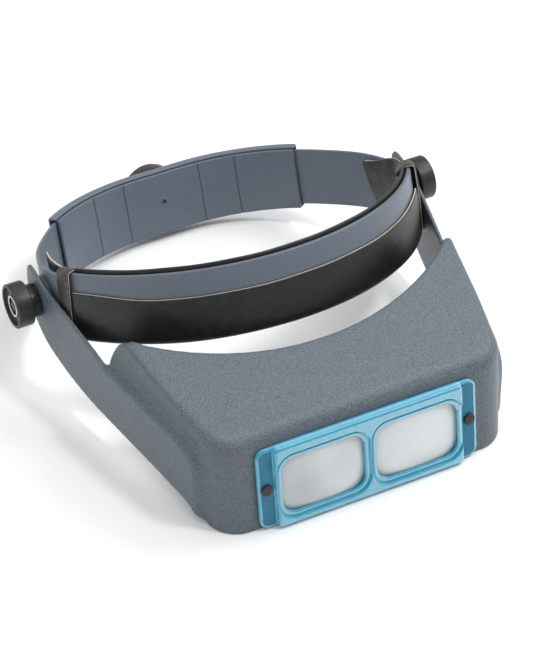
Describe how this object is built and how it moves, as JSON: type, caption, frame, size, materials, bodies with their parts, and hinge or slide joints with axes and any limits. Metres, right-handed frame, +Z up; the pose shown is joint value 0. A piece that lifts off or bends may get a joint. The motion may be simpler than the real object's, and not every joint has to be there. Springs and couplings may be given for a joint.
{
  "type": "head visor magnifier",
  "caption": "Head-worn binocular magnifier: a pivoting grained visor with a translucent lens plate, on a leather-lined adjustable headband.",
  "frame": {"origin": "centre of the bounding box's base, on the surface that the visor's lower front edge and the rear knob rest on", "axes": "+Z up, +X towards the wearer's left-hand lens seen from the front as right, -Y out of the lens plate, the YZ plane is the plane of symmetry"},
  "size_m": [0.216, 0.234, 0.0848],
  "materials": {
    "band_plastic": "satin moulded",
    "comfort_leather": "smooth with raw cut edges",
    "keeper_leather": "smooth",
    "bolt_steel": "plain",
    "washer_fibre": "matt fibre",
    "knob_plastic": "satin moulded",
    "insert_brass": "turned",
    "ring_metal": "spun",
    "visor_plastic": "fine grained moulding",
    "lens_frame_plastic": "translucent",
    "lens_glass": "polished",
    "pin_plastic": "polished"
  },
  "bodies": {
    "headband": {"front_band": "band_plastic", "comfort_band": "comfort_leather", "left_keeper": "keeper_leather", "right_keeper": "keeper_leather", "left_pivot_bolt": "bolt_steel", "right_pivot_bolt": "bolt_steel", "left_friction_washer": "washer_fibre", "right_friction_washer": "washer_fibre"},
    "left_strap": {"left_side_strap": "band_plastic"},
    "right_strap": {"right_side_strap": "band_plastic"},
    "sleeve": {"rear_sleeve": "band_plastic", "rear_inner_plate": "band_plastic", "rear_stud": "bolt_steel", "rear_washer": "washer_fibre"},
    "rear_clamp_knob": {"rear_knob": "knob_plastic", "rear_knob_insert": "insert_brass", "rear_knob_ring": "ring_metal"},
    "left_tilt_knob": {"left_knob": "knob_plastic", "left_knob_insert": "insert_brass", "left_knob_ring": "ring_metal"},
    "right_tilt_knob": {"right_knob": "knob_plastic", "right_knob_insert": "insert_brass", "right_knob_ring": "ring_metal"},
    "visor": {"visor_shell": "visor_plastic"},
    "lens_unit": {"lens_plate": "lens_frame_plastic", "left_lens": "lens_glass", "right_lens": "lens_glass"},
    "left_pin": {"left_plate_pin": "pin_plastic"},
    "right_pin": {"right_plate_pin": "pin_plastic"}
  },
  "joints": [
    {"name": "visor_tilt", "type": "hinge", "parent": "headband", "child": "visor", "pos_m": [0, 0.0288, 0.042], "axis": [-1, 0, 0], "range_deg": [-12, 95]},
    {"name": "lens_plate_release", "type": "slide", "parent": "visor", "child": "lens_unit", "axis": [0, -0.9905, 0.1374], "range_m": [0, 0.015]},
    {"name": "left_pin_pull", "type": "slide", "parent": "lens_unit", "child": "left_pin", "axis": [0, -0.9905, 0.1374], "range_m": [0, 0.008]},
    {"name": "right_pin_pull", "type": "slide", "parent": "lens_unit", "child": "right_pin", "axis": [0, -0.9905, 0.1374], "range_m": [0, 0.008]},
    {"name": "left_knob_turn", "type": "hinge", "parent": "headband", "child": "left_tilt_knob", "pos_m": [-0.1, 0.0288, 0.042], "axis": [-1, 0, 0], "range_deg": [0, 540]},
    {"name": "right_knob_turn", "type": "hinge", "parent": "headband", "child": "right_tilt_knob", "pos_m": [0.1, 0.0288, 0.042], "axis": [1, 0, 0], "range_deg": [0, 540]},
    {"name": "size_slide", "type": "slide", "parent": "headband", "child": "sleeve", "axis": [0, 0.9461, -0.3239], "range_m": [-0.002, 0.008]},
    {"name": "left_strap_flex", "type": "hinge", "parent": "headband", "child": "left_strap", "pos_m": [-0.0875, 0.03892, 0.03853], "axis": [0, 0.3239, 0.9461], "range_deg": [-1.6, 6.1]},
    {"name": "right_strap_flex", "type": "hinge", "parent": "headband", "child": "right_strap", "pos_m": [0.0875, 0.03892, 0.03853], "axis": [0, -0.3239, -0.9461], "range_deg": [-1.6, 6.1]},
    {"name": "rear_knob_turn", "type": "hinge", "parent": "sleeve", "child": "rear_clamp_knob", "pos_m": [0, 0.10455, 0.01628], "axis": [0, 0.9461, -0.3239], "range_deg": [0, 540]}
  ],
  "couplings": [
    {"joint": "left_strap_flex", "follows": "size_slide", "rad_per_m": 13.123},
    {"joint": "right_strap_flex", "follows": "size_slide", "rad_per_m": 13.123}
  ]
}
